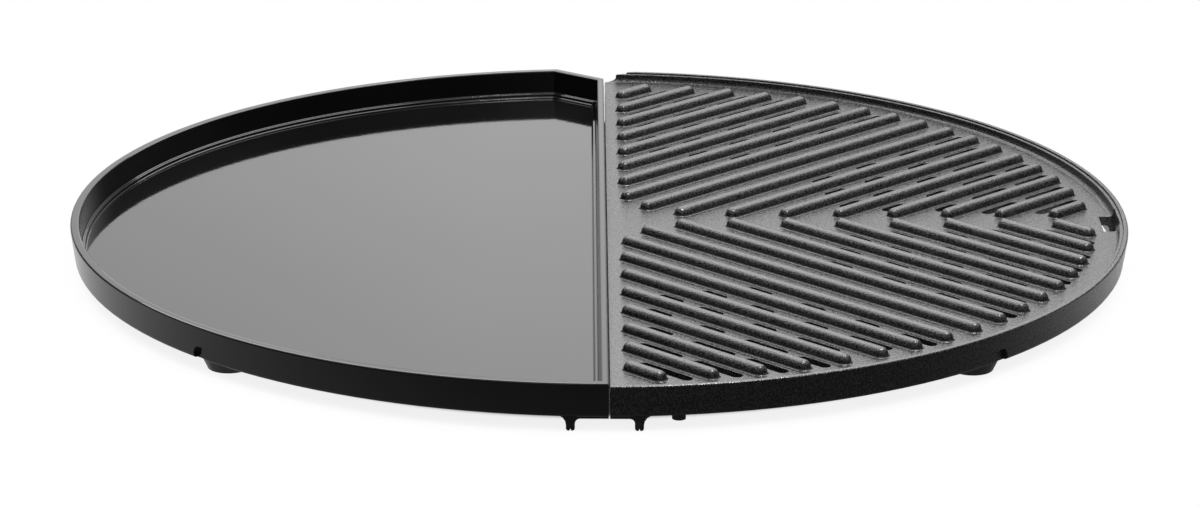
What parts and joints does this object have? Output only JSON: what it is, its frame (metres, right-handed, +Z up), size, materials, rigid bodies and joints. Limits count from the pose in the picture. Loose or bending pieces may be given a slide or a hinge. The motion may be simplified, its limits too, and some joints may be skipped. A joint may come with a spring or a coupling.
{
  "type": "camp griddle plate",
  "caption": "Round split griddle plate for a camp grill: a flat rimmed half-moon tray beside a half-moon ribbed grill with drain slots, both on short cast feet.",
  "frame": {"origin": "centre of the round plate, on the surface that its feet stand on", "axes": "+Z up; +Y towards the back, where the corner notch of the seam is; the flat half lies on -X and the ribbed half on +X"},
  "size_m": [0.47, 0.4691, 0.0215],
  "materials": {
    "gloss_coat": "cast aluminium with a glossy black non-stick coat",
    "satin_coat": "cast aluminium with a satin, faintly grained black non-stick coat"
  },
  "bodies": {
    "flat_half": {"flat_griddle_half": "gloss_coat"},
    "ribbed_half": {"ribbed_grill_half": "satin_coat"}
  },
  "joints": [
    {"name": "ribbed_lift", "type": "slide", "parent": "flat_half", "child": "ribbed_half", "axis": [0, 0, 1], "range_m": [0, 0.06]}
  ]
}
